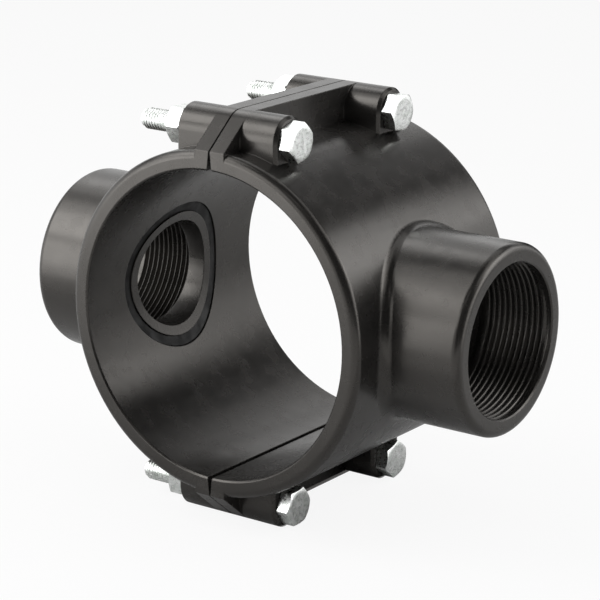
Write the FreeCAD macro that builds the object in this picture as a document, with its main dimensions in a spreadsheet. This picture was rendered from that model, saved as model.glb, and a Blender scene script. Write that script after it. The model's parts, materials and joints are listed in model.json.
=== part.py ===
import FreeCAD, Part
import math
import os
from enum import IntEnum, auto

import Sketcher

# Clamp saddle with two 2 inch outlets, for a 4 inch pipe of 114.3 mm outside diameter.
# The pipe lies along Y, the outlets point along +X and -X, and Z is up.
# The origin is on the pipe's axis, halfway along the saddle.
# The bolt heads are on the +X side and the nuts on the -X side. All sizes are in mm.

SIZES = {
    # pipe seat and shell
    "pipe_radius": 57.15,
    "seat_clearance": 0.05,
    "wall": 7.0,
    "body_length": 100.7,
    "rim_rounding": 3.0,
    "seat_edge_chamfer": 0.6,
    # parting between the halves
    "parting_gap": 0.6,
    "parting_relief": 0.7,
    # outlets
    "outlet_standout": 31.2,
    "outlet_wall": 6.77,
    "outlet_root_rounding": 4.0,
    "mouth_rounding": 3.0,
    "mouth_chamfer": 0.5,
    "thread_bore_radius": 28.33,
    "passage_radius": 20.6,
    # seal and its groove
    "collar_width": 3.7,
    "groove_width": 3.9,
    "groove_depth": 3.4,
    "groove_floor": 4.2,
    "seal_play": 0.15,
    "seal_setback": 0.5,
    # flanges and bolt bosses
    "flange_thickness": 6.2,
    "bolt_rise": 3.65,
    "bolt_end_distance": 18.25,
    "boss_wall": 4.3,
    "boss_foot": 8.5,
    "boss_reach": 22.0,
    "boss_end_chamfer": 1.1,
    "boss_end_angle": 45.0,
    # bolts and nuts
    "bolt_radius": 4.0,
    "bolt_hole_clearance": 0.5,
    "bolt_length": 65.0,
    "bolt_tip_chamfer": 1.0,
    "across_flats": 13.0,
    "head_height": 5.3,
    "nut_height": 6.8,
    "nut_play": 0.08,
    "nut_lead_in": 0.6,
    "hex_crown_angle": 30.0,
    "crown_share": 0.95,
}

# Sizes that follow from the driving ones. A bare name is another entry of this table.
LAYOUT = {
    "half_length": "Sizes.body_length / 2",
    "half_gap": "Sizes.parting_gap / 2",
    "seat_radius": "Sizes.pipe_radius + Sizes.seat_clearance",
    "outer_radius": "seat_radius + Sizes.wall",
    "outlet_radius": "Sizes.thread_bore_radius + Sizes.outlet_wall",
    "outlet_reach": "outer_radius + Sizes.outlet_standout",
    "shoulder_reach": "seat_radius + Sizes.groove_depth + Sizes.groove_floor",
    "thread_depth": "outlet_reach - shoulder_reach",
    "collar_radius": "Sizes.passage_radius + Sizes.collar_width",
    "groove_radius": "collar_radius + Sizes.groove_width",
    "groove_bottom": "seat_radius + Sizes.groove_depth",
    "seal_inner_radius": "collar_radius + Sizes.seal_play",
    "seal_outer_radius": "groove_radius - Sizes.seal_play",
    "seal_face": "seat_radius + Sizes.seal_setback",
    "groove_start": "seat_radius - Sizes.groove_depth",
    "bolt_hole_radius": "Sizes.bolt_radius + Sizes.bolt_hole_clearance",
    "boss_radius": "bolt_hole_radius + Sizes.boss_wall",
    "bolt_height": "outer_radius + Sizes.bolt_rise",
    "bolt_side": "half_length - Sizes.bolt_end_distance",
    "boss_shoulder": "Sizes.boss_reach - Sizes.boss_end_chamfer",
    "boss_length": "boss_shoulder - half_gap",
    "boss_under": "bolt_height - Sizes.boss_foot",
    "crest_height": "bolt_height + boss_radius",
    "half_flats": "Sizes.across_flats / 2",
    "crown_radius": "half_flats * Sizes.crown_share",
    "crown_depth": "(2 * half_flats - crown_radius) * tan(Sizes.hex_crown_angle * 1 deg)",
    "nut_bore_radius": "Sizes.bolt_radius + Sizes.nut_play",
    "relief_depth": "2 * Sizes.wall",
    "relief_width": "2 * Sizes.parting_relief",
}

# Each bolt: its side of the pipe in Z, its end in Y, and the turns of its head and its nut in degrees.
BOLTS = {
    "top_front": (1, -1, 16.0, 0.0),
    "top_rear": (1, 1, 53.0, 22.0),
    "bottom_front": (-1, -1, 5.0, 38.0),
    "bottom_rear": (-1, 1, 20.0, 11.0),
}

PART_NAME = "tapping_saddle"
OUTPUT_FOLDER = "parts"
AT_POINT = 1e-4


class At(IntEnum):
    """The points of a sketch curve, numbered as its constraints know them."""

    START = auto()
    END = auto()
    CENTRE = auto()


class Axis(IntEnum):
    """The axes of a sketch, numbered as its constraints know them; each starts at the sketch's origin."""

    ACROSS = -1
    UP = -2


doc = FreeCAD.newDocument(PART_NAME)


def make_sheet():
    """Puts every driving size in the spreadsheet, one named cell each."""
    sheet = doc.addObject("Spreadsheet::Sheet", "Sizes")
    for row, (name, value) in enumerate(SIZES.items(), start=1):
        sheet.set(f"A{row}", name)
        sheet.set(f"B{row}", str(value))
        sheet.setAlias(f"B{row}", name)
    doc.recompute()


def make_layout():
    """Holds the sizes that follow from the spreadsheet, each bound to its rule."""
    layout = doc.addObject("App::VarSet", "Layout")
    for name, rule in LAYOUT.items():
        layout.addProperty("App::PropertyFloat", name)
        layout.setExpression(name, rule)
    doc.recompute()
    return layout


# Bodies, sketches and features
def new_body(name):
    """Starts a body whose label names its piece."""
    body = doc.addObject("PartDesign::Body", name)
    body.Label = name
    return body


def new_sketch(body, name, plane_role, offset=None):
    """Starts a sketch on one of the body's own origin planes, moved along its normal by a bound offset."""
    sketch = body.newObject("Sketcher::SketchObject", name)
    plane = origin_plane(body, plane_role)
    sketch.AttachmentSupport = [(plane, "")]
    sketch.MapMode = "FlatFace"
    if offset is not None:
        sketch.setExpression("AttachmentOffset.Base.z", offset)
    return sketch


def origin_plane(body, role):
    """Finds an origin plane of a body by its role."""
    return next(item for item in body.Origin.OriginFeatures if item.Role == role)


def point(across, up):
    """A point of a sketch, in the sketch's own plane."""
    return FreeCAD.Vector(across, up, 0)


def bind(sketch, name, rule, *constraint):
    """Adds a named dimension to a sketch and ties it to a rule."""
    index = sketch.addConstraint(Sketcher.Constraint(*constraint))
    sketch.renameConstraint(index, name)
    sketch.setExpression(f"Constraints.{name}", rule)


def draw_circle(sketch, name, radius_rule, radius):
    """Draws a circle with a bound radius about the sketch's origin."""
    ring = sketch.addGeometry(Part.Circle(point(0, 0), FreeCAD.Vector(0, 0, 1), radius), False)
    sketch.addConstraint(Sketcher.Constraint("Coincident", ring, At.CENTRE, Axis.ACROSS, At.START))
    bind(sketch, f"{name}_radius", radius_rule, "Radius", ring, radius)


def draw_loop(sketch, curves, smooth=()):
    """Draws curves end to end as a closed outline; the joints after the smooth curves are tangent."""
    indices = [sketch.addGeometry(curve, False) for curve in curves]
    for place, curve in enumerate(curves):
        following = (place + 1) % len(curves)
        end = At.END if place == 0 or touches(curve.EndPoint, curves[following]) else At.START
        meets_start = curves[following].StartPoint.isEqual(end_point(curve, end), AT_POINT)
        start = At.START if meets_start else At.END
        kind = "Tangent" if place in smooth else "Coincident"
        sketch.addConstraint(Sketcher.Constraint(kind, indices[place], end, indices[following], start))
    return indices


def touches(place, curve):
    """Tells whether a curve starts or ends at a place."""
    return place.isEqual(curve.StartPoint, AT_POINT) or place.isEqual(curve.EndPoint, AT_POINT)


def end_point(curve, end):
    """The start or the end point of a curve."""
    return curve.EndPoint if end == At.END else curve.StartPoint


def pad(body, sketch, name, length, symmetric=False, away=False, taper=None):
    """Pads a sketch by a bound length, with its sides leaning by a bound taper where one is given."""
    feature = body.newObject("PartDesign::Pad", name)
    feature.Profile = sketch
    feature.SideType = "Symmetric" if symmetric else "One side"
    feature.Reversed = away
    feature.setExpression("Length", length)
    if taper is not None:
        feature.setExpression("TaperAngle", taper)
    settle(body, feature)
    return feature


def pocket(body, sketch, name, length=None, symmetric=False, away=False):
    """Cuts a sketch by a bound length, or through all."""
    feature = body.newObject("PartDesign::Pocket", name)
    feature.Profile = sketch
    feature.SideType = "Symmetric" if symmetric else "One side"
    feature.Reversed = away
    if length is None:
        feature.Type = "ThroughAll"
    else:
        feature.setExpression("Length", length)
    settle_cut(body, feature)
    return feature


def turn_off(body, sketch, name):
    """Turns a sketch all the way round its horizontal axis and cuts that ring away."""
    feature = body.newObject("PartDesign::Groove", name)
    feature.Profile = sketch
    feature.ReferenceAxis = (sketch, ["H_Axis"])
    feature.Angle = 360
    settle_cut(body, feature)
    return feature


def dress(body, kind, name, size_property, size_rule, is_wanted):
    """Rounds or chamfers the edges of the body that a test picks out."""
    base = body.Tip
    chosen = [f"Edge{i}" for i, edge in enumerate(base.Shape.Edges, start=1) if is_wanted(edge)]
    if not chosen:
        raise RuntimeError(f"{name} of {body.Label} finds no edge")
    feature = body.newObject(f"PartDesign::{kind}", name)
    feature.Base = (base, chosen)
    feature.setExpression(size_property, size_rule)
    settle(body, feature)
    return feature


def settle(body, feature):
    """Makes a feature the body's last one and computes it."""
    body.Tip = feature
    doc.recompute()


def settle_cut(body, feature):
    """Computes a cut and makes sure that it removes something."""
    before = body.Shape.Volume
    settle(body, feature)
    if not body.Shape.Volume < before:
        raise RuntimeError(f"{feature.Label} of {body.Label} removes nothing")


def is_at(value, target):
    """Tells whether a coordinate is at a place, within the modelling tolerance."""
    return abs(value - target) < AT_POINT


def edge_points(edge):
    """Three points of an edge: near its ends and in its middle."""
    first, last = edge.ParameterRange
    return [edge.valueAt(first + (last - first) * share) for share in (0.05, 0.5, 0.95)]


def every_point(edge, test):
    """Tells whether a test holds at each of an edge's three points."""
    return all(test(place) for place in edge_points(edge))


def from_pipe_axis(place):
    """Distance of a point from the pipe's axis."""
    return math.hypot(place.x, place.z)


def from_outlet_axis(place):
    """Distance of a point from the axis of the outlets."""
    return math.hypot(place.y, place.z)


# Outlines of the pipe half
def draw_shell(body, layout):
    """Draws the half disc that the shell is cut from, seen along the pipe."""
    sketch = new_sketch(body, "shell_outline", "XZ_Plane")
    reach = math.sqrt(layout.outer_radius**2 - layout.half_gap**2)
    swing = math.atan2(reach, layout.half_gap)
    disc = Part.Circle(point(0, 0), FreeCAD.Vector(0, 0, 1), layout.outer_radius)
    rim = Part.ArcOfCircle(disc, -swing, swing)
    chord = Part.LineSegment(point(layout.half_gap, reach), point(layout.half_gap, -reach))
    rim, chord = draw_loop(sketch, [rim, chord])
    sketch.addConstraint(Sketcher.Constraint("Coincident", rim, At.CENTRE, Axis.ACROSS, At.START))
    sketch.addConstraint(Sketcher.Constraint("Vertical", chord))
    bind(sketch, "outer_radius", "Layout.outer_radius", "Radius", rim, layout.outer_radius)
    bind(sketch, "half_gap", "Layout.half_gap", "DistanceX", chord, At.START, layout.half_gap)
    return sketch


def draw_flange(body, layout):
    """Draws the upper flange: slanted ends that run tangent into the two bolt bosses, and a level crest."""
    sketch = new_sketch(body, "flange_outline", "YZ_Plane", "Layout.half_gap")
    corner_across = layout.half_length
    corner_up = layout.outer_radius
    foot = layout.seat_radius
    run = corner_across - layout.bolt_side
    rise = layout.bolt_height - corner_up
    slope = math.atan2(rise, run) + math.asin(layout.boss_radius / math.hypot(rise, run))
    touch_across = layout.bolt_side + layout.boss_radius * math.sin(slope)
    touch_up = layout.bolt_height + layout.boss_radius * math.cos(slope)
    lean = math.pi / 2 - slope
    normal = FreeCAD.Vector(0, 0, 1)
    rear_circle = Part.Circle(point(layout.bolt_side, layout.bolt_height), normal, layout.boss_radius)
    front_circle = Part.Circle(point(-layout.bolt_side, layout.bolt_height), normal, layout.boss_radius)
    curves = [
        Part.LineSegment(point(corner_across, foot), point(corner_across, corner_up)),
        Part.LineSegment(point(corner_across, corner_up), point(touch_across, touch_up)),
        Part.ArcOfCircle(rear_circle, lean, math.pi / 2),
        Part.LineSegment(point(layout.bolt_side, layout.crest_height),
                         point(-layout.bolt_side, layout.crest_height)),
        Part.ArcOfCircle(front_circle, math.pi / 2, math.pi - lean),
        Part.LineSegment(point(-touch_across, touch_up), point(-corner_across, corner_up)),
        Part.LineSegment(point(-corner_across, corner_up), point(-corner_across, foot)),
        Part.LineSegment(point(-corner_across, foot), point(corner_across, foot)),
    ]
    sides = draw_loop(sketch, curves, smooth=(1, 2, 3, 4))
    rear_foot, _, rear_arc, _, front_arc, _, front_foot, base = sides
    sketch.addConstraint(Sketcher.Constraint("Vertical", rear_foot))
    sketch.addConstraint(Sketcher.Constraint("Vertical", front_foot))
    sketch.addConstraint(Sketcher.Constraint("Horizontal", base))
    sketch.addConstraint(Sketcher.Constraint("Equal", rear_arc, front_arc))
    sketch.addConstraint(
        Sketcher.Constraint("Symmetric", rear_arc, At.CENTRE, front_arc, At.CENTRE, Axis.UP))
    sketch.addConstraint(
        Sketcher.Constraint("Symmetric", rear_foot, At.END, front_foot, At.START, Axis.UP))
    bind(sketch, "boss_radius", "Layout.boss_radius", "Radius", rear_arc, layout.boss_radius)
    bind(sketch, "bolt_side", "Layout.bolt_side", "DistanceX", rear_arc, At.CENTRE, layout.bolt_side)
    bind(sketch, "bolt_height", "Layout.bolt_height", "DistanceY", rear_arc, At.CENTRE, layout.bolt_height)
    bind(sketch, "half_length", "Layout.half_length", "DistanceX", rear_foot, At.END, corner_across)
    bind(sketch, "corner_height", "Layout.outer_radius", "DistanceY", rear_foot, At.END, corner_up)
    bind(sketch, "foot_height", "Layout.seat_radius", "DistanceY", rear_foot, At.START, foot)
    return sketch


def draw_boss(body, layout, name, side, start):
    """Draws one arched bolt boss: round above the bolt, with straight sides and a flat foot."""
    sketch = new_sketch(body, name, "YZ_Plane", start)
    middle = side * layout.bolt_side
    radius = layout.boss_radius
    height = layout.bolt_height
    under = layout.boss_under
    circle = Part.Circle(point(middle, height), FreeCAD.Vector(0, 0, 1), radius)
    curves = [
        Part.ArcOfCircle(circle, 0, math.pi),
        Part.LineSegment(point(middle - radius, height), point(middle - radius, under)),
        Part.LineSegment(point(middle - radius, under), point(middle + radius, under)),
        Part.LineSegment(point(middle + radius, under), point(middle + radius, height)),
    ]
    arch, left_wall, floor, right_wall = draw_loop(sketch, curves, smooth=(0, 3))
    sketch.addConstraint(Sketcher.Constraint("Vertical", left_wall))
    sketch.addConstraint(Sketcher.Constraint("Vertical", right_wall))
    sketch.addConstraint(Sketcher.Constraint("Horizontal", floor))
    bind(sketch, "boss_radius", "Layout.boss_radius", "Radius", arch, radius)
    bind(sketch, "bolt_height", "Layout.bolt_height", "DistanceY", arch, At.CENTRE, height)
    bind(sketch, "underside", "Layout.boss_under", "DistanceY", floor, At.START, under)
    ends = [(Axis.ACROSS, At.START), (arch, At.CENTRE)]
    if side < 0:
        ends.reverse()
    bind(sketch, "bolt_side", "Layout.bolt_side", "DistanceX", *ends[0], *ends[1], layout.bolt_side)
    return sketch


def draw_bolt_holes(body, layout):
    """Draws the clearance holes of the two upper bolts."""
    sketch = new_sketch(body, "bolt_hole_outline", "YZ_Plane")
    radius = layout.bolt_hole_radius
    normal = FreeCAD.Vector(0, 0, 1)
    rear = sketch.addGeometry(
        Part.Circle(point(layout.bolt_side, layout.bolt_height), normal, radius), False)
    front = sketch.addGeometry(
        Part.Circle(point(-layout.bolt_side, layout.bolt_height), normal, radius), False)
    sketch.addConstraint(Sketcher.Constraint("Equal", rear, front))
    sketch.addConstraint(Sketcher.Constraint("Symmetric", rear, At.CENTRE, front, At.CENTRE, Axis.UP))
    bind(sketch, "hole_radius", "Layout.bolt_hole_radius", "Radius", rear, radius)
    bind(sketch, "bolt_side", "Layout.bolt_side", "DistanceX", rear, At.CENTRE, layout.bolt_side)
    bind(sketch, "bolt_height", "Layout.bolt_height", "DistanceY", rear, At.CENTRE, layout.bolt_height)
    return sketch


def draw_relief(body, layout):
    """Draws the wedge that opens the upper parting from nothing at the outside to its width at the seat."""
    sketch = new_sketch(body, "relief_outline", "XZ_Plane")
    near = layout.half_gap
    far = near + layout.relief_width
    apex = layout.outer_radius
    foot = apex - layout.relief_depth
    curves = [
        Part.LineSegment(point(near, apex), point(near, foot)),
        Part.LineSegment(point(near, foot), point(far, foot)),
        Part.LineSegment(point(far, foot), point(near, apex)),
    ]
    drop, floor, _ = draw_loop(sketch, curves)
    sketch.addConstraint(Sketcher.Constraint("Vertical", drop))
    sketch.addConstraint(Sketcher.Constraint("Horizontal", floor))
    bind(sketch, "half_gap", "Layout.half_gap", "DistanceX", drop, At.START, near)
    bind(sketch, "apex_height", "Layout.outer_radius", "DistanceY", drop, At.START, apex)
    bind(sketch, "depth", "Layout.relief_depth", "DistanceY", drop, At.END, drop, At.START,
         layout.relief_depth)
    bind(sketch, "width", "Layout.relief_width", "DistanceX", floor, At.START, floor, At.END,
         layout.relief_width)
    return sketch


def draw_half_ring(body, name, layout, near, far):
    """Draws the half ring between two radii about the pipe's axis, on the +X side."""
    sketch = new_sketch(body, name, "XZ_Plane")
    near_radius = getattr(layout, near)
    far_radius = getattr(layout, far)
    normal = FreeCAD.Vector(0, 0, 1)
    quarter = math.pi / 2
    curves = [
        Part.ArcOfCircle(Part.Circle(point(0, 0), normal, far_radius), -quarter, quarter),
        Part.LineSegment(point(0, far_radius), point(0, near_radius)),
        Part.ArcOfCircle(Part.Circle(point(0, 0), normal, near_radius), -quarter, quarter),
        Part.LineSegment(point(0, -near_radius), point(0, -far_radius)),
    ]
    far_arc, upper, near_arc, lower = draw_loop(sketch, curves)
    for arc in (far_arc, near_arc):
        sketch.addConstraint(Sketcher.Constraint("Coincident", arc, At.CENTRE, Axis.ACROSS, At.START))
    for line in (upper, lower):
        for end in (At.START, At.END):
            sketch.addConstraint(Sketcher.Constraint("PointOnObject", line, end, Axis.UP))
    bind(sketch, "far_radius", f"Layout.{far}", "Radius", far_arc, far_radius)
    bind(sketch, "near_radius", f"Layout.{near}", "Radius", near_arc, near_radius)
    return sketch


def make_contoured_ring(name, layout, inner, outer, near, far):
    """A ring about X whose two faces follow the pipe; inner, outer, near and far name its four radii."""
    body = new_body(name)
    sketch = draw_half_ring(body, f"{name}_band_outline", layout, near, far)
    pad(body, sketch, f"{name}_band", f"2 * Layout.{outer}", symmetric=True)
    sketch = new_sketch(body, f"{name}_core_outline", "YZ_Plane")
    draw_circle(sketch, "inner", f"Layout.{inner}", getattr(layout, inner))
    pocket(body, sketch, f"{name}_core", away=True)
    sketch = new_sketch(body, f"{name}_rim_outline", "YZ_Plane")
    draw_circle(sketch, "outer", f"Layout.{outer}", getattr(layout, outer))
    draw_circle(sketch, "beyond", f"2 * Layout.{far}", 2 * getattr(layout, far))
    pocket(body, sketch, f"{name}_rim", away=True)
    return body


# Right half
def make_half(name, layout):
    """The +X half: shell, threaded outlet, flanges, bolt bosses, seat, seal groove and holes."""
    body = new_body(name)
    pad(body, draw_shell(body, layout), "shell", "Sizes.body_length", symmetric=True)

    def is_rim(edge):
        return every_point(edge, lambda p: is_at(abs(p.y), layout.half_length)
                           and is_at(from_pipe_axis(p), layout.outer_radius))

    dress(body, "Fillet", "rim_rounding", "Radius", "Sizes.rim_rounding", is_rim)
    add_outlet(body, layout)
    add_flanges(body, layout)
    cut_seat(body, layout)
    cut_outlet(body, layout)
    return body


def add_outlet(body, layout):
    """Adds the round outlet, its rounded root on the shell and the rounded edge of its mouth."""
    sketch = new_sketch(body, "outlet_outline", "YZ_Plane")
    draw_circle(sketch, "outlet", "Layout.outlet_radius", layout.outlet_radius)
    pad(body, sketch, "outlet", "Layout.outlet_reach")

    def is_root(edge):
        return every_point(edge, lambda p: is_at(from_outlet_axis(p), layout.outlet_radius)
                           and is_at(from_pipe_axis(p), layout.outer_radius))

    def is_mouth(edge):
        return every_point(edge, lambda p: is_at(p.x, layout.outlet_reach)
                           and is_at(from_outlet_axis(p), layout.outlet_radius))

    dress(body, "Fillet", "outlet_root_rounding", "Radius", "Sizes.outlet_root_rounding", is_root)
    dress(body, "Fillet", "mouth_rounding", "Radius", "Sizes.mouth_rounding", is_mouth)


def add_boss(body, layout, name, side):
    """Adds one bolt boss: its straight length, then its end with the edge leaning in."""
    outline = draw_boss(body, layout, f"{name}_outline", side, "Layout.half_gap")
    barrel = pad(body, outline, name, "Layout.boss_length")
    outline = draw_boss(body, layout, f"{name}_end_outline", side, "Layout.boss_shoulder")
    end = pad(body, outline, f"{name}_end", "Sizes.boss_end_chamfer", taper="-Sizes.boss_end_angle")
    return [barrel, end]


def add_flanges(body, layout):
    """Adds the upper flange with its bosses, holes and parting relief, and mirrors them below."""
    features = [pad(body, draw_flange(body, layout), "flange", "Sizes.flange_thickness")]
    features += add_boss(body, layout, "front_boss", -1)
    features += add_boss(body, layout, "rear_boss", 1)
    features.append(pocket(body, draw_bolt_holes(body, layout), "bolt_holes", away=True))
    features.append(pocket(body, draw_relief(body, layout), "parting_relief", symmetric=True))
    mirrored = body.newObject("PartDesign::Mirrored", "lower_flange")
    mirrored.Originals = features
    mirrored.MirrorPlane = (origin_plane(body, "XY_Plane"), [""])
    settle(body, mirrored)


def cut_seat(body, layout):
    """Cuts the pipe seat and chamfers its two ends."""
    sketch = new_sketch(body, "seat_outline", "XZ_Plane")
    draw_circle(sketch, "seat", "Layout.seat_radius", layout.seat_radius)
    pocket(body, sketch, "seat", symmetric=True)

    def is_seat_end(edge):
        return every_point(edge, lambda p: is_at(abs(p.y), layout.half_length)
                           and is_at(from_pipe_axis(p), layout.seat_radius))

    dress(body, "Chamfer", "seat_end_chamfer", "Size", "Sizes.seat_edge_chamfer", is_seat_end)


def cut_outlet(body, layout):
    """Cuts the passage, the threaded bore with its lead-in, and the groove for the seal."""
    sketch = new_sketch(body, "passage_outline", "YZ_Plane")
    draw_circle(sketch, "passage", "Sizes.passage_radius", SIZES["passage_radius"])
    pocket(body, sketch, "passage", away=True)
    sketch = new_sketch(body, "thread_outline", "YZ_Plane", "Layout.outlet_reach")
    draw_circle(sketch, "thread_bore", "Sizes.thread_bore_radius", SIZES["thread_bore_radius"])
    pocket(body, sketch, "threaded_bore", "Layout.thread_depth")

    def is_mouth_edge(edge):
        return every_point(edge, lambda p: is_at(p.x, layout.outlet_reach)
                           and is_at(from_outlet_axis(p), SIZES["thread_bore_radius"]))

    dress(body, "Chamfer", "mouth_chamfer", "Size", "Sizes.mouth_chamfer", is_mouth_edge)
    space = make_contoured_ring("seal_space", layout, "collar_radius", "groove_radius",
                                "groove_start", "groove_bottom")
    before = body.Shape.Volume
    groove = body.newObject("PartDesign::Boolean", "seal_groove")
    groove.setObjects([space])
    groove.Type = "Cut"
    settle(body, groove)
    if not body.Shape.Volume < before:
        raise RuntimeError("the seal groove removes nothing")


def mirror_across(source, name):
    """The -X twin of a piece."""
    twin = doc.addObject("Part::Mirroring", name)
    twin.Label = name
    twin.Source = source
    twin.Normal = FreeCAD.Vector(1, 0, 0)
    doc.recompute()
    return twin


# Bolts and nuts
def draw_hexagon(body, name, layout):
    """Draws a hexagon with two flats level, held by its width across flats."""
    sketch = new_sketch(body, name, "YZ_Plane")
    corner_radius = layout.half_flats / math.cos(math.pi / 6)
    corners = [point(corner_radius * math.cos(math.pi / 3 * i), corner_radius * math.sin(math.pi / 3 * i))
               for i in range(6)]
    sides = draw_loop(sketch, [Part.LineSegment(this, following)
                               for this, following in zip(corners, corners[1:] + corners[:1])])
    circle = sketch.addGeometry(Part.Circle(point(0, 0), FreeCAD.Vector(0, 0, 1), corner_radius), True)
    sketch.addConstraint(Sketcher.Constraint("Coincident", circle, At.CENTRE, Axis.ACROSS, At.START))
    for side in sides:
        sketch.addConstraint(Sketcher.Constraint("PointOnObject", side, At.START, circle))
    for side in sides[1:]:
        sketch.addConstraint(Sketcher.Constraint("Equal", sides[0], side))
    sketch.addConstraint(Sketcher.Constraint("Horizontal", sides[1]))
    bind(sketch, "across_flats", "Sizes.across_flats", "DistanceY", sides[4], At.START, sides[1], At.START,
         2 * layout.half_flats)
    return sketch


def cut_crown(body, layout, name, face_rule, face, outward):
    """Turns the corners of a hexagon off towards one of its faces, at the crown angle."""
    sketch = new_sketch(body, f"{name}_outline", "XZ_Plane")
    inner = layout.crown_radius
    outer = 2 * layout.half_flats
    drop = outward * (outer - inner) * math.tan(math.radians(SIZES["hex_crown_angle"]))
    curves = [
        Part.LineSegment(point(face, inner), point(face, outer)),
        Part.LineSegment(point(face, outer), point(face - drop, outer)),
        Part.LineSegment(point(face - drop, outer), point(face, inner)),
    ]
    wall, roof, _ = draw_loop(sketch, curves)
    sketch.addConstraint(Sketcher.Constraint("Vertical", wall))
    sketch.addConstraint(Sketcher.Constraint("Horizontal", roof))
    ends = (roof, At.END, roof, At.START) if outward > 0 else (roof, At.START, roof, At.END)
    bind(sketch, "depth", "Layout.crown_depth", "DistanceX", *ends, layout.crown_depth)
    bind(sketch, "crown_radius", "Layout.crown_radius", "DistanceY", wall, At.START, inner)
    bind(sketch, "outside", "Sizes.across_flats", "DistanceY", wall, At.END, outer)
    if is_at(face, 0):
        sketch.addConstraint(Sketcher.Constraint("PointOnObject", wall, At.START, Axis.UP))
    elif face > 0:
        bind(sketch, "face", face_rule, "DistanceX", Axis.ACROSS, At.START, wall, At.START, face)
    else:
        bind(sketch, "face", face_rule, "DistanceX", wall, At.START, Axis.ACROSS, At.START, -face)
    turn_off(body, sketch, name)


def place(body, reach_rule, spot, turn):
    """Puts a bolt or a nut on its axis, turned about it."""
    up, along, *_ = BOLTS[spot]
    turned = FreeCAD.Rotation(FreeCAD.Vector(1, 0, 0), turn)
    body.Placement = FreeCAD.Placement(FreeCAD.Vector(0, 0, 0), turned)
    body.setExpression("Placement.Base.x", reach_rule)
    body.setExpression("Placement.Base.y", f"{along} * Layout.bolt_side")
    body.setExpression("Placement.Base.z", f"{up} * Layout.bolt_height")
    doc.recompute()


def make_bolt(spot, layout):
    """A hexagon bolt: the underside of its head at the origin, its shank along -X."""
    body = new_body(f"bolt_{spot}")
    pad(body, draw_hexagon(body, "head_outline", layout), "head", "Sizes.head_height")
    cut_crown(body, layout, "head_crown", "Sizes.head_height", SIZES["head_height"], 1)
    sketch = new_sketch(body, "shank_outline", "YZ_Plane")
    draw_circle(sketch, "shank", "Sizes.bolt_radius", SIZES["bolt_radius"])
    pad(body, sketch, "shank", "Sizes.bolt_length", away=True)

    def is_tip(edge):
        return every_point(edge, lambda p: is_at(p.x, -SIZES["bolt_length"]))

    dress(body, "Chamfer", "tip_chamfer", "Size", "Sizes.bolt_tip_chamfer", is_tip)
    place(body, "Sizes.boss_reach", spot, BOLTS[spot][2])
    return body


def make_nut(spot, layout):
    """A hexagon nut: its seating face at the origin, its body towards -X."""
    body = new_body(f"nut_{spot}")
    pad(body, draw_hexagon(body, "nut_outline", layout), "hexagon", "Sizes.nut_height", away=True)
    cut_crown(body, layout, "outer_crown", "Sizes.nut_height", -SIZES["nut_height"], -1)
    cut_crown(body, layout, "inner_crown", None, 0.0, 1)
    sketch = new_sketch(body, "nut_bore_outline", "YZ_Plane")
    draw_circle(sketch, "bore", "Layout.nut_bore_radius", layout.nut_bore_radius)
    pocket(body, sketch, "nut_bore")

    def is_bore_end(edge):
        return every_point(edge, lambda p: is_at(from_outlet_axis(p), layout.nut_bore_radius)
                           and (is_at(p.x, 0) or is_at(p.x, -SIZES["nut_height"])))

    dress(body, "Chamfer", "nut_lead_in", "Size", "Sizes.nut_lead_in", is_bore_end)
    place(body, "-Sizes.boss_reach", spot, BOLTS[spot][3])
    return body


# Whole saddle
def make_pieces(layout):
    """Builds every piece of the saddle."""
    right_half = make_half("right_half", layout)
    right_seal = make_contoured_ring("right_seal", layout, "seal_inner_radius", "seal_outer_radius",
                                     "seal_face", "groove_bottom")
    pieces = [right_half, mirror_across(right_half, "left_half")]
    pieces += [right_seal, mirror_across(right_seal, "left_seal")]
    pieces += [make_bolt(spot, layout) for spot in BOLTS]
    pieces += [make_nut(spot, layout) for spot in BOLTS]
    return pieces


def check_document():
    """Stops if any object of the document failed."""
    for item in doc.Objects:
        if {"Invalid", "Error"} & set(item.State):
            raise RuntimeError(f"{item.Label} failed: {item.State}")


def check_piece(piece):
    """Stops if a piece isn't one valid solid."""
    shape = piece.Shape
    if shape.isNull() or not shape.isValid():
        raise RuntimeError(f"{piece.Label} has no valid shape")
    if len(shape.Solids) != 1:
        raise RuntimeError(f"{piece.Label} has {len(shape.Solids)} solids")


def main():
    """Builds the saddle, checks it and writes one file for each piece."""
    make_sheet()
    pieces = make_pieces(make_layout())
    doc.recompute()
    check_document()
    for piece in pieces:
        check_piece(piece)
    os.makedirs(OUTPUT_FOLDER, exist_ok=True)
    for piece in pieces:
        piece.Shape.exportStep(f"{OUTPUT_FOLDER}/{piece.Label}.step")
        print(f"{piece.Label}: {piece.Shape.Volume:.1f} mm3")


main()
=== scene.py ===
"""Looks of a clamp saddle with two threaded outlets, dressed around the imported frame."""

import json
import logging
import math
from dataclasses import dataclass
from enum import Enum
from typing import Callable, Sequence

import bmesh
import bpy
from mathutils import Matrix, Vector


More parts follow.
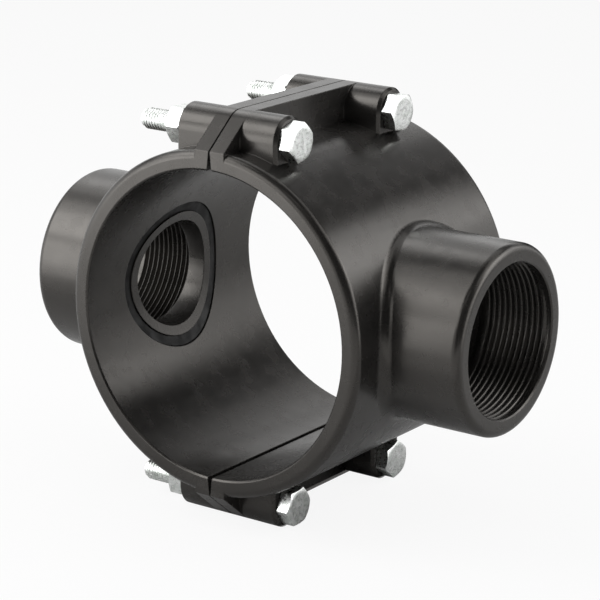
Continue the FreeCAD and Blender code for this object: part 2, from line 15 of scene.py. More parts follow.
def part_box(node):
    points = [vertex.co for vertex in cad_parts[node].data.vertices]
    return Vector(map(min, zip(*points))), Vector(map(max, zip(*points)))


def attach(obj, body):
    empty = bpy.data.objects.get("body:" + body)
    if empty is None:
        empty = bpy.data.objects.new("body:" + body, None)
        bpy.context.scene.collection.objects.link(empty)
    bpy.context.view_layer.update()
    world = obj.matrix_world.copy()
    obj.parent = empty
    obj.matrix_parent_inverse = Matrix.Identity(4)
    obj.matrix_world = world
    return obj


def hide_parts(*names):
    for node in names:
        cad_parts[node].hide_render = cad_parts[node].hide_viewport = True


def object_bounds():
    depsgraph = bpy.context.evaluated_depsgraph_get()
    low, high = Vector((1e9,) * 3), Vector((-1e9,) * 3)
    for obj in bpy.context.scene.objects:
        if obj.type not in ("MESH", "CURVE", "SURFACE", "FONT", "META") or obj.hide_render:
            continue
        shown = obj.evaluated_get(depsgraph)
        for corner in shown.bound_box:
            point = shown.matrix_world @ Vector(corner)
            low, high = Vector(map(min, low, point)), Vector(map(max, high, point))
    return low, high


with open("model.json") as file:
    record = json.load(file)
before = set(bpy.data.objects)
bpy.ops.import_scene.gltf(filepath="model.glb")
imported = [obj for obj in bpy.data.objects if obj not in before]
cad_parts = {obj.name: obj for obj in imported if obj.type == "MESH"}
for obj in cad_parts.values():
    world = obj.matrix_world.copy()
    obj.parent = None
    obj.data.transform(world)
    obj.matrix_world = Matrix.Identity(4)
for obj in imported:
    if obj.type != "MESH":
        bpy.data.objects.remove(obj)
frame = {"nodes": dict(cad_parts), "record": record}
cad_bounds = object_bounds()

MM = 0.001
PICTURE_SIZE = 600
SENSOR_WIDTH = 36.0
CLIP_START = 0.01
CLIP_END = 50.0
BEVEL_SAMPLES = 6

log = logging.getLogger("saddle")

Point = tuple[float, float, float]
Colour = tuple[float, float, float, float]
Span = tuple[float, float]
Tree = bpy.types.NodeTree
Node = bpy.types.Node
Socket = bpy.types.NodeSocket
Value = Socket | float | Colour

WHITE: Colour = (1.0, 1.0, 1.0, 1.0)


class Side(Enum):
    """The two halves of the saddle; the value is the direction of the outlet along X."""

    RIGHT = 1
    LEFT = -1

    @property
    def label(self) -> str:
        """The side's name as the nodes have it."""
        return self.name.lower()

    @property
    def body(self) -> str:
        """Name of the body that carries this side."""
        return f"{self.label}_body"

    @property
    def node(self) -> str:
        """Name of the moulded half on this side."""
        return f"{self.label}_half"


class Spot(Enum):
    """The four bolts; the value is the turn of the head, in degrees."""

    TOP_FRONT = 16.0
    TOP_REAR = 53.0
    BOTTOM_FRONT = 5.0
    BOTTOM_REAR = 20.0

    @property
    def label(self) -> str:
        """The spot's name as the nodes have it."""
        return self.name.lower()


# Node building
def feed(tree: Tree, value: Value, target: Socket) -> None:
    """Gives a socket its value: a link from a socket, or else a constant."""
    if isinstance(value, Socket):
        tree.links.new(value, target)
    else:
        target.default_value = value


def math_node(tree: Tree, operation: str, first: Value, second: Value,
              clamp: bool = False) -> Socket:
    """Adds a math node.

    Args:
        tree: The tree that gets the node.
        operation: The node's operation.
        first: First input, a socket or a number.
        second: Second input, a socket or a number.
        clamp: Whether the result stays between 0 and 1.

    Returns:
        The node's output socket.
    """
    node = tree.nodes.new("ShaderNodeMath")
    node.operation = operation
    node.use_clamp = clamp
    feed(tree, first, node.inputs[0])
    feed(tree, second, node.inputs[1])
    return node.outputs[0]


def noise_node(tree: Tree, where: Socket, scale: Value, detail: float = 2.0) -> Socket:
    """Adds a noise texture.

    Args:
        tree: The tree that gets the node.
        where: The texture coordinate.
        scale: Bumps per metre.
        detail: Octaves of the noise.

    Returns:
        The noise value.
    """
    node = tree.nodes.new("ShaderNodeTexNoise")
    for name, value in (("Vector", where), ("Scale", scale), ("Detail", detail)):
        feed(tree, value, node.inputs[name])
    return node.outputs["Fac"]


def remap(tree: Tree, value: Socket, span: Span, low: Value = 0.0, high: Value = 1.0) -> Socket:
    """Stretches a value from one range to another, clamped.

    Args:
        tree: The tree that gets the node.
        value: The value to stretch.
        span: The values that become low and high.
        low: Lower result.
        high: Upper result.

    Returns:
        The stretched value.
    """
    node = tree.nodes.new("ShaderNodeMapRange")
    names = ("Value", "From Min", "From Max", "To Min", "To Max")
    for name, given in zip(names, (value, *span, low, high)):
        feed(tree, given, node.inputs[name])
    return node.outputs["Result"]


def mix_colour(tree: Tree, share: Value, first: Value, second: Value) -> Socket:
    """Blends two colours.

    Args:
        tree: The tree that gets the node.
        share: How much of the second colour shows.
        first: First colour.
        second: Second colour.

    Returns:
        The blended colour.
    """
    node = tree.nodes.new("ShaderNodeMix")
    node.data_type = "RGBA"
    for place, value in ((0, share), (6, first), (7, second)):
        feed(tree, value, node.inputs[place])
    return node.outputs[2]


def object_place(tree: Tree) -> Socket:
    """Adds the object's own coordinates, in metres."""
    return tree.nodes.new("ShaderNodeTexCoord").outputs["Object"]


def new_group(name: str, output: str, inputs: dict[str, float]) -> tuple[Tree, Node, Socket]:
    """Starts a shader node group with one output.

    Args:
        name: The group's name.
        output: Name of its output.
        inputs: Name and default of each input.

    Returns:
        The group, its input node and the socket of its output.
    """
    kind = "NodeSocketFloat"
    group = bpy.data.node_groups.new(name, "ShaderNodeTree")
    for label, default in inputs.items():
        socket = group.interface.new_socket(name=label, in_out="INPUT", socket_type=kind)
        socket.default_value = default
    group.interface.new_socket(name=output, in_out="OUTPUT", socket_type=kind)
    start = group.nodes.new("NodeGroupInput")
    end = group.nodes.new("NodeGroupOutput")
    return group, start, end.inputs[output]


@dataclass
class Effects:
    """Effects that several finishes share, each a node group that is built once.

    A span holds the two values of a noise, or of the edges' pointiness, between which an effect
    comes in. Scales are per metre.
    """

    cloud_span: Span = (0.35, 0.65)
    wave_detail: float = 1.0
    edge_span: Span = (0.52, 0.6)
    rub_scale: float = 220.0
    rub_detail: float = 3.0
    rub_span: Span = (0.42, 0.62)
    scratch_turn: Point = (0.5, 0.9, 0.3)
    scratch_scale: Point = (35.0, 35.0, 1400.0)
    scratch_span: Span = (0.66, 0.72)

    def __post_init__(self) -> None:
        """Builds the groups."""
        self.grain = self.build_grain()
        self.cloud = self.build_cloud()
        self.scuff = self.build_scuff()

    def build_grain(self) -> Tree:
        """Makes fine surface grain with a slower wave under it, as a height in metres."""
        group, start, end = new_group("surface_grain", "Height", {
            "Grain Scale": 2500.0, "Grain Height": 0.01 * MM,
            "Wave Scale": 60.0, "Wave Height": 0.1 * MM})
        where = object_place(group)
        fine = noise_node(group, where, start.outputs["Grain Scale"])
        slow = noise_node(group, where, start.outputs["Wave Scale"], self.wave_detail)
        grain = math_node(group, "MULTIPLY", fine, start.outputs["Grain Height"])
        wave = math_node(group, "MULTIPLY", slow, start.outputs["Wave Height"])
        feed(group, math_node(group, "ADD", grain, wave), end)
        return group

    def build_cloud(self) -> Tree:
        """Makes slow uneven patches, as a value between two ends."""
        group, start, end = new_group("uneven_patches", "Value",
                                      {"Scale": 30.0, "Low": 0.0, "High": 1.0})
        noise = noise_node(group, object_place(group), start.outputs["Scale"])
        low, high = start.outputs["Low"], start.outputs["High"]
        feed(group, remap(group, noise, self.cloud_span, low, high), end)
        return group

    def build_scuff(self) -> Tree:
        """Makes rubbed edges and sparse hairline scratches, as a mask."""
        group, start, end = new_group("edge_scuff", "Mask",
                                      {"Edge Amount": 0.5, "Scratch Amount": 0.3})
        where = object_place(group)
        point = group.nodes.new("ShaderNodeNewGeometry").outputs["Pointiness"]
        rubbing = noise_node(group, where, self.rub_scale, self.rub_detail)
        edge = math_node(group, "MULTIPLY", remap(group, point, self.edge_span),
                         remap(group, rubbing, self.rub_span))
        edge = math_node(group, "MULTIPLY", edge, start.outputs["Edge Amount"])
        mapping = group.nodes.new("ShaderNodeMapping")
        for name, value in (("Vector", where), ("Rotation", self.scratch_turn),
                            ("Scale", self.scratch_scale)):
            feed(group, value, mapping.inputs[name])
        lines = remap(group, noise_node(group, mapping.outputs["Vector"], 1.0), self.scratch_span)
        lines = math_node(group, "MULTIPLY", lines, start.outputs["Scratch Amount"])
        feed(group, math_node(group, "MAXIMUM", edge, lines, clamp=True), end)
        return group

    @staticmethod
    def place(tree: Tree, group: Tree, **values: float) -> Socket:
        """Puts a group in a material with its own values.

        Args:
            tree: The material's node tree.
            group: The group to place.
            **values: The group's inputs, with underscores for spaces.

        Returns:
            The group's output.
        """
        node = tree.nodes.new("ShaderNodeGroup")
        node.node_tree = group
        for name, value in values.items():
            node.inputs[name.replace("_", " ").title()].default_value = value
        return node.outputs[0]


def start_material(name: str) -> tuple[bpy.types.Material, Tree, Node]:
    """Starts a material with one Principled shader.

    Args:
        name: The material's name.

    Returns:
        The material, its node tree and the shader node.
    """
    material = bpy.data.materials.new(name)
    material.use_nodes = True
    tree = material.node_tree
    return material, tree, tree.nodes["Principled BSDF"]


# Finishes
@dataclass(frozen=True)
class Finish:
    """What every finish has: patches of a second colour, uneven gloss and fine relief.

    Scales are per metre, heights and the radius in metres.
    """

    name: str
    base: Colour
    patch: Colour
    patch_scale: float
    patch_share: float
    smooth: float
    dull: float
    dull_scale: float
    grain_scale: float
    grain_height: float
    wave_scale: float
    wave_height: float
    edge_radius: float

    def uneven_colour(self, tree: Tree, effects: Effects) -> Socket:
        """Blends the patches into the base colour."""
        patches = Effects.place(tree, effects.cloud, scale=self.patch_scale, low=0.0,
                                high=self.patch_share)
        return mix_colour(tree, patches, self.base, self.patch)

    def add_surface(self, tree: Tree, shader: Node, effects: Effects) -> None:
        """Gives the shader its uneven gloss, its relief and softened edges.

        Args:
            tree: The material's node tree.
            shader: The shader node.
            effects: The shared node groups.
        """
        gloss = Effects.place(tree, effects.cloud, scale=self.dull_scale, low=self.smooth,
                              high=self.dull)
        feed(tree, gloss, shader.inputs["Roughness"])
        height = Effects.place(tree, effects.grain, grain_scale=self.grain_scale,
                               grain_height=self.grain_height, wave_scale=self.wave_scale,
                               wave_height=self.wave_height)
        bevel = tree.nodes.new("ShaderNodeBevel")
        bevel.samples = BEVEL_SAMPLES
        feed(tree, self.edge_radius, bevel.inputs["Radius"])
        bump = tree.nodes.new("ShaderNodeBump")
        for name, value in (("Strength", 1.0), ("Distance", 1.0), ("Height", height),
                            ("Normal", bevel.outputs["Normal"])):
            feed(tree, value, bump.inputs[name])
        feed(tree, bump.outputs["Normal"], shader.inputs["Normal"])


@dataclass(frozen=True)
class MouldedPlastic(Finish):
    """Black moulded polypropylene with a soft gloss."""

    name: str = "moulded_black_plastic"
    base: Colour = (0.0130, 0.0122, 0.0115, 1.0)
    patch: Colour = (0.0180, 0.0170, 0.0160, 1.0)
    patch_scale: float = 45.0
    patch_share: float = 0.8
    smooth: float = 0.235
    dull: float = 0.285
    dull_scale: float = 160.0
    grain_scale: float = 2600.0
    grain_height: float = 0.006 * MM
    wave_scale: float = 55.0
    wave_height: float = 0.03 * MM
    edge_radius: float = 0.45 * MM
    rubbed: Colour = (0.055, 0.053, 0.050, 1.0)
    edge_wear: float = 0.25
    scratches: float = 0.05
    gloss_tint: Colour = (1.0, 0.945, 0.88, 1.0)
    refraction: float = 1.54

    def build(self, effects: Effects) -> bpy.types.Material:
        """Makes the material."""
        material, tree, shader = start_material(self.name)
        shader.inputs["IOR"].default_value = self.refraction
        shader.inputs["Specular Tint"].default_value = self.gloss_tint
        worn = Effects.place(tree, effects.scuff, edge_amount=self.edge_wear,
                             scratch_amount=self.scratches)
        colour = mix_colour(tree, worn, self.uneven_colour(tree, effects), self.rubbed)
        feed(tree, colour, shader.inputs["Base Color"])
        self.add_surface(tree, shader, effects)
        return material


@dataclass(frozen=True)
class SealRubber(Finish):
    """Matte black nitrile rubber."""

    name: str = "seal_rubber"
    base: Colour = (0.0055, 0.0055, 0.0056, 1.0)
    patch: Colour = (0.011, 0.011, 0.011, 1.0)
    patch_scale: float = 300.0
    patch_share: float = 0.7
    smooth: float = 0.5
    dull: float = 0.7
    dull_scale: float = 220.0
    grain_scale: float = 4000.0
    grain_height: float = 0.012 * MM
    wave_scale: float = 300.0
    wave_height: float = 0.03 * MM
    edge_radius: float = 0.3 * MM
    sheen_level: float = 0.35

    def build(self, effects: Effects) -> bpy.types.Material:
        """Makes the material."""
        material, tree, shader = start_material(self.name)
        shader.inputs["Specular IOR Level"].default_value = self.sheen_level
        feed(tree, self.uneven_colour(tree, effects), shader.inputs["Base Color"])
        self.add_surface(tree, shader, effects)
        return material


@dataclass(frozen=True)
class ZincPlate(Finish):
    """Bright zinc plating over forged steel."""

    name: str = "bright_zinc"
    base: Colour = (0.93, 0.94, 0.93, 1.0)
    patch: Colour = (0.74, 0.77, 0.74, 1.0)
    patch_scale: float = 420.0
    patch_share: float = 1.0
    smooth: float = 0.22
    dull: float = 0.4
    dull_scale: float = 700.0
    grain_scale: float = 3200.0
    grain_height: float = 0.004 * MM
    wave_scale: float = 700.0
    wave_height: float = 0.006 * MM
    edge_radius: float = 0.06 * MM
    grime: Colour = (0.30, 0.31, 0.30, 1.0)
    scratches: float = 0.1

    def build(self, effects: Effects) -> bpy.types.Material:
        """Makes the material."""
        material, tree, shader = start_material(self.name)
        shader.inputs["Metallic"].default_value = 1.0
        worn = Effects.place(tree, effects.scuff, edge_amount=0.0, scratch_amount=self.scratches)
        colour = mix_colour(tree, worn, self.uneven_colour(tree, effects), self.grime)
        feed(tree, colour, shader.inputs["Base Color"])
        self.add_surface(tree, shader, effects)
        return material


@dataclass(frozen=True)
class Finishes:
    """The materials of the saddle."""

    plastic: bpy.types.Material
    rubber: bpy.types.Material
    zinc: bpy.types.Material


def make_finishes() -> Finishes:
    """Builds every material of the object."""
    effects = Effects()
    return Finishes(plastic=MouldedPlastic().build(effects), rubber=SealRubber().build(effects),
                    zinc=ZincPlate().build(effects))


def dress(name: str, finish: bpy.types.Material) -> None:
    """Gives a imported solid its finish."""
    mesh = frame["nodes"][name].data
    mesh.materials.clear()
    mesh.materials.append(finish)
    log.info("%s dressed", name)


# Meshes
@dataclass
class Mesh:
    """Points and faces that grow together."""

    points: list[Point]
    faces: list[tuple[int, ...]]

    @classmethod
    def empty(cls) -> "Mesh":
        """A mesh with nothing in it yet."""
        return cls([], [])

    @classmethod
    def rectangle(cls, half_width: float, half_height: float, level: float) -> "Mesh":
        """A flat rectangle about the Z axis, at a level."""
        corners = ((-1, -1), (1, -1), (1, 1), (-1, 1))
        return cls([(x * half_width, y * half_height, level) for x, y in corners], [(0, 1, 2, 3)])

    def add_rings(self, rings: Sequence[Sequence[Point]], capped: bool = True) -> None:
        """Adds closed rings of points joined one to the next by quads.

        Args:
            rings: The rings, all with the same number of points.
            capped: Whether the first and the last ring are closed by a face.
        """
        first = len(self.points)
        count = len(rings[0])
        for ring in rings:
            self.points.extend(ring)
        last = first + (len(rings) - 1) * count
        for row in range(first, last, count):
            for column in range(count):
                this, beside = row + column, row + (column + 1) % count
                self.faces.append((this, beside, beside + count, this + count))
        if capped:
            self.faces.append(tuple(first + i for i in reversed(range(count))))
            self.faces.append(tuple(last + i for i in range(count)))

    def to_object(self, name: str, material: bpy.types.Material, place: Matrix,
                  sharp_degrees: float = 35.0) -> bpy.types.Object:
        """Makes a Blender object of the mesh.

        Args:
            name: The object's name.
            material: Its finish.
            place: Moves the points from the mesh's own axes to the frame's.
            sharp_degrees: Angle above which an edge stays sharp.

        Returns:
            The new object, linked to the scene.
        """
        mesh = bpy.data.meshes.new(name)
        mesh.from_pydata(self.points, [], self.faces)
        mesh.transform(place)
        mesh.validate()
        mesh.shade_smooth()
        mesh.set_sharp_from_angle(angle=math.radians(sharp_degrees))
        mesh.materials.append(material)
        made = bpy.data.objects.new(name, mesh)
        bpy.context.scene.collection.objects.link(made)
        return made


def around_x(along: float, radius: float, angle: float) -> Point:
    """A point at a radius and an angle about the X axis."""
    return (along, radius * math.cos(angle), radius * math.sin(angle))


@dataclass(frozen=True)
class ThreadForm:
    """An outside thread's ridge: its section and how it follows the helix.

    The widths of the section are shares of the pitch. A shoulder is a point of a flank: its place
    in half crests from the middle, and its share of the height.
    """

    pitch: float
    root_radius: float
    crest_radius: float
    base_share: float = 0.98
    crest_share: float = 0.22
    shoulders: tuple[Span, ...] = ((1.5, 0.80), (0.8, 0.97))
    embed: float = 0.05 * MM
    steps_per_turn: int = 40
    fade_turns: float = 0.7
    least_share: float = 0.02

    def section(self) -> list[Span]:
        """The section's points: places in pitches along the axis, and shares of the height."""
        flank = [(self.base_share / 2, 0.0)]
        flank += [(self.crest_share / 2 * along, out) for along, out in self.shoulders]
        return [(-along, out) for along, out in flank] + [(0.0, 1.0)] + flank[::-1]

    def add_to(self, mesh: Mesh, start: float, end: float) -> None:
        """Winds the ridge round the X axis as a right-hand thread.

        Args:
            mesh: The mesh that gets the ridge.
            start: Where the ridge's middle starts along X.
            end: Where it ends along X.
        """
        height = self.crest_radius - self.root_radius
        turns = (end - start) / self.pitch
        steps = round(turns * self.steps_per_turn)
        shape = self.section()
        foot = (shape[-1][0], shape[0][0])
        rings = []
        for step in range(steps + 1):
            turn = turns * step / steps
            share = min(1.0, turn / self.fade_turns, (turns - turn) / self.fade_turns)
            share = max(self.least_share, share)
            angle = 2 * math.pi * turn
            middle = start + self.pitch * turn
            width = self.pitch * share
            ring = [around_x(middle + along * width, self.root_radius + height * out * share,
                             angle) for along, out in shape]
            ring += [around_x(middle + along * width, self.root_radius - self.embed, angle)
                     for along in foot]
            rings.append(ring)
        mesh.add_rings(rings)


# Sub-assemblies
@dataclass
class Halves:
    """The two moulded halves, each with the 2 inch pipe thread cut in the wall of its outlet."""

    finish: bpy.types.Material
    pitch: float = 2.309 * MM
    depth: float = 1.479 * MM
    plain_entry: float = 1.8 * MM
    run_out: float = 2.6 * MM
    fade_turns: float = 0.3
    crest_share: float = 0.12
    root_share: float = 0.10
    flank_rounding: float = 0.4
    rows_per_pitch: int = 16
    columns: int = 128
    sharp_degrees: float = 70.0
    on_wall: float = 0.03 * MM

    def build(self) -> None:
        """Makes both halves, with right-handed threads."""
        mounts = {mount["name"]: mount for mount in frame["record"]["mounts"]}
        for side in Side:
            bore = mounts[f"{side.label}_outlet"]["dims"]["r_mm"] * MM
            shell, span = self.open_bore(side, bore)
            wall = self.thread_wall(side, bore, span)
            for made in (shell, wall):
                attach(made, side.body)
                log.info("%s made", made.name)

    def open_bore(self, side: Side, bore: float) -> tuple[bpy.types.Object, Span]:
        """Copies a half without the plain wall of its outlet's bore.

        Args:
            side: Which half.
            bore: Radius of the plain wall.

        Returns:
            The copy, and the distances along X between which the wall was.
        """
        mesh = frame["nodes"][side.node].data.copy()
        work = bmesh.new()
        work.from_mesh(mesh)

        def on_bore(vertex: bmesh.types.BMVert) -> bool:
            return abs(math.hypot(vertex.co.y, vertex.co.z) - bore) < self.on_wall

        wall = [face for face in work.faces if all(on_bore(vertex) for vertex in face.verts)]
        reach = [abs(vertex.co.x) for face in wall for vertex in face.verts]
        span = (min(reach), max(reach))
        bmesh.ops.delete(work, geom=wall, context="FACES")
        work.to_mesh(mesh)
        work.free()
        mesh.materials.clear()
        mesh.materials.append(self.finish)
        shell = bpy.data.objects.new(f"{side.label}_moulding", mesh)
        bpy.context.scene.collection.objects.link(shell)
        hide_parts(side.node)
        return shell, span

    def thread_wall(self, side: Side, bore: float, span: Span) -> bpy.types.Object:
        """Makes the grooved wall of one outlet.

        Args:
            side: Which half.
            bore: Radius at the thread's crests.
            span: Where the wall starts and ends along X.

        Returns:
            The wall.
        """
        start, end = span
        rows = round((end - start) / self.pitch * self.rows_per_pitch)
        turns = (end - self.plain_entry - start - self.run_out) / self.pitch
        rings = []
        for row in range(rows + 1):
            along = start + (end - start) * row / rows
            ring = []
            for column in range(self.columns):
                share = column / self.columns
                place = (along - start - self.run_out) / self.pitch - share
                cut = self.groove(place, share, turns) if 0 < row < rows else 0.0
                ring.append(around_x(along, bore + self.depth * cut, 2 * math.pi * share))
            rings.append(ring[::-1])
        mesh = Mesh.empty()
        mesh.add_rings(rings, capped=False)
        turned = Matrix.Rotation(0.0 if side is Side.RIGHT else math.pi, 4, "Z")
        return mesh.to_object(f"{side.label}_outlet_thread", self.finish, turned,
                              self.sharp_degrees)

    def groove(self, place: float, share: float, turns: float) -> float:
        """How deep the groove is at a place of the wall.

        Args:
            place: Distance along the axis in pitches, less the share of a turn.
            share: Share of a turn.
            turns: Turns from the groove's first end to its last.

        Returns:
            The depth, from 0 at the crest to 1 at the root.
        """
        nearest = round(place)
        turn = nearest + share
        run = min(1.0, turn / self.fade_turns, (turns - turn) / self.fade_turns)
        if run <= 0.0:
            return 0.0
        flank = 0.5 - self.crest_share / 2 - self.root_share / 2
        cut = (0.5 - self.crest_share / 2 - abs(place - nearest)) / flank
        cut = min(1.0, max(0.0, cut))
        rounded = cut * cut * (3.0 - 2.0 * cut)
        return run * (cut + self.flank_rounding * (rounded - cut))


@dataclass
class Seals:
    """The two rubber rings round the passages, whose solids show."""

    finish: bpy.types.Material

    def build(self) -> None:
        """Gives both seals their finish."""
        for side in Side:
            dress(f"{side.label}_seal", self.finish)


@dataclass
class HexBolts:
    """The four hexagon bolts, each with its forged head and rolled thread.

    A bolt lies along X with its seat at 0: the head reaches up from it and the shank down.
    """

    finish: bpy.types.Material
    head_height: float = 5.3 * MM
    across_flats: float = 13.0 * MM
    crown_share: float = 0.94
    crown_degrees: float = 28.0
    corner_cut: float = 0.1225 * MM
    seat_share: float = 0.94
    seat_rise: float = 0.18 * MM
    face_share: float = 0.8
    head_columns: int = 96
    shank_radius: float = 3.95 * MM
    core_radius: float = 3.25 * MM
    crest_radius: float = 4.0 * MM
    thread_length: float = 40.0 * MM
    pitch: float = 1.25 * MM
    first_pitches: float = 0.9
    tip_chamfer: float = 0.45 * MM
    shoulder_start: float = 0.4 * MM
    shoulder_end: float = 0.6 * MM
    into_head: float = 0.1 * MM
    shank_columns: int = 64

    def build(self) -> None:
        """Makes the four bolts in the places of their plain solids."""
        form = ThreadForm(self.pitch, self.core_radius, self.crest_radius)
        for spot in Spot:
            low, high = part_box(f"bolt_{spot.label}")
            seat = high.x - self.head_height
            length = seat - low.x
            middle = (low + high) / 2
            mesh = Mesh.empty()
            mesh.add_rings(self.head_rings())
            mesh.add_rings(self.shank_rings(length))
            form.add_to(mesh, self.first_pitches * self.pitch - length,
                        self.thread_length - length)
            place = (Matrix.Translation((seat, middle.y, middle.z))
                     @ Matrix.Rotation(math.radians(spot.value), 4, "X"))
            bolt = mesh.to_object(f"hex_bolt_{spot.label}", self.finish, place)
            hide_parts(f"bolt_{spot.label}")
            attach(bolt, Side.RIGHT.body)
            log.info("%s made", bolt.name)

    def hexagon(self, angle: float) -> float:
        """Distance from the axis to the hexagon's side at an angle, with blunt corners."""
        flat = self.across_flats / 2
        turned = (angle % (math.pi / 3)) - math.pi / 6
        corner = flat / math.cos(math.pi / 6)
        return min(flat / math.cos(turned), corner - self.corner_cut)

    def head_rings(self) -> list[list[Point]]:
        """Rings of the head, from its seat round the outside to its face."""
        top = self.head_height
        crown = self.across_flats / 2 * self.crown_share
        slope = math.tan(math.radians(self.crown_degrees))
        angles = [2 * math.pi * (i + 0.5) / self.head_columns for i in range(self.head_columns)]
        sides = [(self.hexagon(a), a) for a in angles]
        return [
            [around_x(0.0, out * self.seat_share, a) for out, a in sides],
            [around_x(self.seat_rise, out, a) for out, a in sides],
            [around_x(top - max(0.0, out - crown) * slope, out, a) for out, a in sides],
            [around_x(top, crown, a) for a in angles],
            [around_x(top, crown * self.face_share, a) for a in angles],
        ]

    def shank_rings(self, length: float) -> list[list[Point]]:
        """Rings of the shank, from its tip to the head."""
        thread_end = self.thread_length - length
        outline = (
            (-length, self.core_radius - self.tip_chamfer),
            (self.tip_chamfer - length, self.core_radius),
            (thread_end - self.shoulder_start, self.core_radius),
            (thread_end + self.shoulder_end, self.shank_radius),
            (self.into_head, self.shank_radius),
        )
        angles = [2 * math.pi * i / self.shank_columns for i in range(self.shank_columns)]
        return [[around_x(along, radius, a) for a in angles] for along, radius in outline]


@dataclass
class HexNuts:
    """The four nuts, whose solids show."""

    finish: bpy.types.Material

    def build(self) -> None:
        """Gives the nuts their finish."""
        for spot in Spot:
            dress(f"nut_{spot.label}", self.finish)


# Studio
@dataclass(frozen=True)
class Lamp:
    """A square soft lamp that looks at the object. Angles are in degrees, lengths in metres."""

    name: str
    azimuth: float
    elevation: float
    radiance: float
    distance: float = 1.2
    size: float = 0.5


@dataclass(frozen=True)
class Card:
    """A card that only reflections see, black unless it has a grey of its own."""

    name: str
    azimuth: float
    elevation: float
    width: float
    height: float
    distance: float = 1.5
    grey: float = 0.005
    is_flat: bool = False


def direction(azimuth: float, elevation: float) -> Vector:
    """Unit vector towards an azimuth, 0 at -Y and 90 at +X, and an elevation, in degrees."""
    turn, lift = math.radians(azimuth), math.radians(elevation)
    level = math.cos(lift)
    return Vector((math.sin(turn) * level, -math.cos(turn) * level, math.sin(lift)))


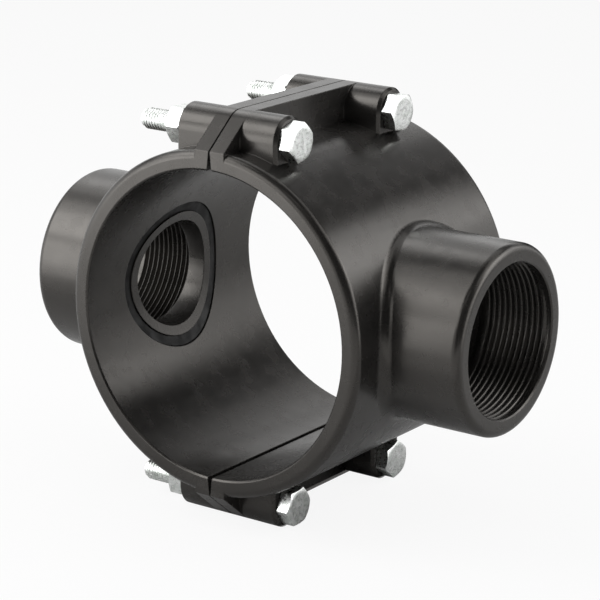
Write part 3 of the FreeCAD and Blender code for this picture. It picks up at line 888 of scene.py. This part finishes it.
@dataclass
class Studio:
    """Camera, lamps, cards, floor and background."""

    azimuth: float = 35.54
    elevation: float = 16.18
    roll: float = 0.44
    distance: float = 0.9466
    shift_right: float = -0.00306
    shift_up: float = 0.00145
    focal_pixels: float = 2538.93
    floor_reach: float = 6.0
    floor_colour: Colour = (0.8, 0.8, 0.8, 1.0)
    floor_glow: float = 0.9
    room_light: float = 0.36
    white_light: float = 1.0
    lamps: tuple[Lamp, ...] = (
        Lamp("left_low_box", -63.0, 5.0, 0.55),
        Lamp("left_high_box", -88.0, 40.0, 1.1),
        Lamp("front_left_low_box", -40.0, 10.0, 1.9),
        Lamp("front_left_high_box", -50.0, 38.0, 4.2),
        Lamp("front_box", -20.0, 28.0, 1.5),
        Lamp("front_top_box", -60.0, 60.0, 1.9),
        Lamp("rear_left_box", -120.0, 46.0, 1.7),
        Lamp("rear_low_box", 147.0, 17.0, 0.4),
        Lamp("rear_right_box", 125.0, 32.0, 1.9),
        Lamp("right_high_box", 100.0, 46.0, 1.15),
        Lamp("front_left_strip", -36.0, 2.0, 2.15, distance=0.42, size=0.25),
        Lamp("left_strip", -62.0, 0.0, 0.6, distance=0.45, size=0.2),
        Lamp("left_middle_strip", -52.0, 25.0, 1.5, distance=0.42, size=0.14),
        Lamp("left_upper_strip", -70.0, 42.0, 1.3, distance=0.45, size=0.14),
        Lamp("rear_left_strip", -165.0, 30.0, 0.6, distance=0.45, size=0.14),
        Lamp("rear_strip", 142.3, 27.0, 2.1, distance=0.44, size=0.14),
        Lamp("right_rear_strip", 118.0, 20.0, 2.6, distance=0.45, size=0.2),
        Lamp("right_strip", 100.0, 5.0, 1.25, distance=0.45, size=0.2),
    )
    cards: tuple[Card, ...] = (
        Card("ceiling_card", 40.0, 82.0, 1.1, 1.1),
        Card("right_card", 68.0, 30.0, 1.5, 1.9),
        Card("front_card", 22.0, 22.0, 1.1, 1.5),
        Card("left_card", -97.0, 33.0, 0.85, 0.75),
        Card("rear_low_card", -171.0, 5.0, 0.95, 0.75),
        Card("rear_top_card", -172.0, 42.0, 0.85, 0.4),
        Card("rear_high_card", 152.0, 33.0, 0.85, 0.75),
        Card("top_front_card", -20.0, 60.0, 0.9, 0.75),
        Card("top_left_card", -90.0, 60.0, 0.9, 0.75),
        Card("top_right_card", 75.0, 60.0, 0.9, 0.75),
        Card("floor_card", 160.0, -12.0, 0.9, 0.95, distance=0.363, grey=0.6, is_flat=True),
    )

    def build(self) -> None:
        """Sets up the whole studio."""
        self.add_camera()
        for lamp in self.lamps:
            self.add_lamp(lamp)
        for card in self.cards:
            self.add_card(card)
        self.add_floor()
        self.set_world()
        bpy.context.scene.view_settings.view_transform = "Standard"

    def add_camera(self) -> None:
        """Puts the camera at the photograph's viewing angle."""
        turn, roll = math.radians(self.azimuth), math.radians(self.roll)
        back = direction(self.azimuth, self.elevation)
        right = Vector((math.cos(turn), math.sin(turn), 0.0))
        up = back.cross(right)
        across = right * math.cos(roll) + up * math.sin(roll)
        upward = up * math.cos(roll) - right * math.sin(roll)
        camera = bpy.data.objects.new("camera", bpy.data.cameras.new("camera"))
        camera.data.sensor_width = SENSOR_WIDTH
        camera.data.lens = self.focal_pixels / PICTURE_SIZE * SENSOR_WIDTH
        camera.data.clip_start = CLIP_START
        camera.data.clip_end = CLIP_END
        place = back * self.distance - across * self.shift_right - upward * self.shift_up
        axes = Matrix((across, upward, back)).transposed().to_4x4()
        camera.matrix_world = Matrix.Translation(place) @ axes
        bpy.context.scene.collection.objects.link(camera)
        bpy.context.scene.camera = camera

    @staticmethod
    def add_lamp(lamp: Lamp) -> None:
        """Adds one soft lamp.

        Args:
            lamp: Its place, size and radiance.
        """
        light = bpy.data.lights.new(lamp.name, "AREA")
        light.shape = "SQUARE"
        light.size = lamp.size
        light.energy = lamp.radiance * math.pi * lamp.size**2
        made = bpy.data.objects.new(lamp.name, light)
        towards = direction(lamp.azimuth, lamp.elevation)
        made.location = towards * lamp.distance
        made.rotation_euler = towards.to_track_quat("Z", "Y").to_euler()
        made.visible_camera = False
        bpy.context.scene.collection.objects.link(made)

    @staticmethod
    def add_card(card: Card) -> None:
        """Adds one card that only gloss rays meet.

        Args:
            card: Its place, size and grey.
        """
        material, _, shader = start_material(card.name)
        shader.inputs["Base Color"].default_value = (card.grey, card.grey, card.grey, 1.0)
        shader.inputs["Roughness"].default_value = 1.0
        towards = direction(card.azimuth, card.elevation)
        place = Matrix.Translation(towards * card.distance)
        if not card.is_flat:
            place = place @ towards.to_track_quat("Z", "Y").to_matrix().to_4x4()
        mesh = Mesh.rectangle(card.width / 2, card.height / 2, 0.0)
        made = mesh.to_object(card.name, material, place)
        made.visible_camera = False
        made.visible_diffuse = False
        made.visible_shadow = False
        made.visible_transmission = False

    @staticmethod
    def seen_directly(tree: Tree) -> Socket:
        """1 where the camera, gloss or glass sees the surface, otherwise 0."""
        path = tree.nodes.new("ShaderNodeLightPath").outputs
        seen = math_node(tree, "MAXIMUM", path["Is Camera Ray"], path["Is Glossy Ray"])
        return math_node(tree, "MAXIMUM", seen, path["Is Transmission Ray"])

    @staticmethod
    def show_mix(tree: Tree, share: Socket, plain: Node, seen: Node, output: str) -> None:
        """Mixes two shaders and sends them to the tree's output.

        Args:
            tree: The tree that gets the nodes.
            share: How much of the second shader shows.
            plain: The shader that lights the object.
            seen: The shader that is seen directly.
            output: Type of the output node.
        """
        mixed = tree.nodes.new("ShaderNodeMixShader")
        for place, value in enumerate((share, plain.outputs[0], seen.outputs[0])):
            feed(tree, value, mixed.inputs[place])
        feed(tree, mixed.outputs[0], tree.nodes.new(output).inputs["Surface"])

    def add_floor(self) -> None:
        """Adds the pale floor under the lowest point."""
        mesh = Mesh.rectangle(self.floor_reach, self.floor_reach, cad_bounds[0].z)
        material = bpy.data.materials.new("pale_floor")
        material.use_nodes = True
        tree = material.node_tree
        tree.nodes.clear()
        plain = tree.nodes.new("ShaderNodeBsdfDiffuse")
        plain.inputs["Color"].default_value = self.floor_colour
        glow = tree.nodes.new("ShaderNodeEmission")
        glow.inputs["Color"].default_value = WHITE
        share = math_node(tree, "MULTIPLY", self.seen_directly(tree), self.floor_glow)
        self.show_mix(tree, share, plain, glow, "ShaderNodeOutputMaterial")
        floor = mesh.to_object("floor", material, Matrix.Identity(4))

    def set_world(self) -> None:
        """Makes the background white and the room light plain."""
        world = bpy.data.worlds.new("studio")
        bpy.context.scene.world = world
        world.use_nodes = True
        tree = world.node_tree
        tree.nodes.clear()
        room, white = (tree.nodes.new("ShaderNodeBackground") for _ in range(2))
        for light, strength in ((room, self.room_light), (white, self.white_light)):
            light.inputs["Color"].default_value = WHITE
            light.inputs["Strength"].default_value = strength
        self.show_mix(tree, self.seen_directly(tree), room, white, "ShaderNodeOutputWorld")


def main() -> None:
    """Builds the studio and dresses every piece."""
    logging.basicConfig(level=logging.INFO, format="%(message)s")
    finishes = make_finishes()
    steps: Sequence[tuple[str, Callable[[], None]]] = (
        ("studio", Studio().build),
        ("halves", Halves(finishes.plastic).build),
        ("seals", Seals(finishes.rubber).build),
        ("bolts", HexBolts(finishes.zinc).build),
        ("nuts", HexNuts(finishes.zinc).build),
    )
    for name, build in steps:
        build()
        log.info("%s ready", name)


if __name__ == "__main__":
    main()
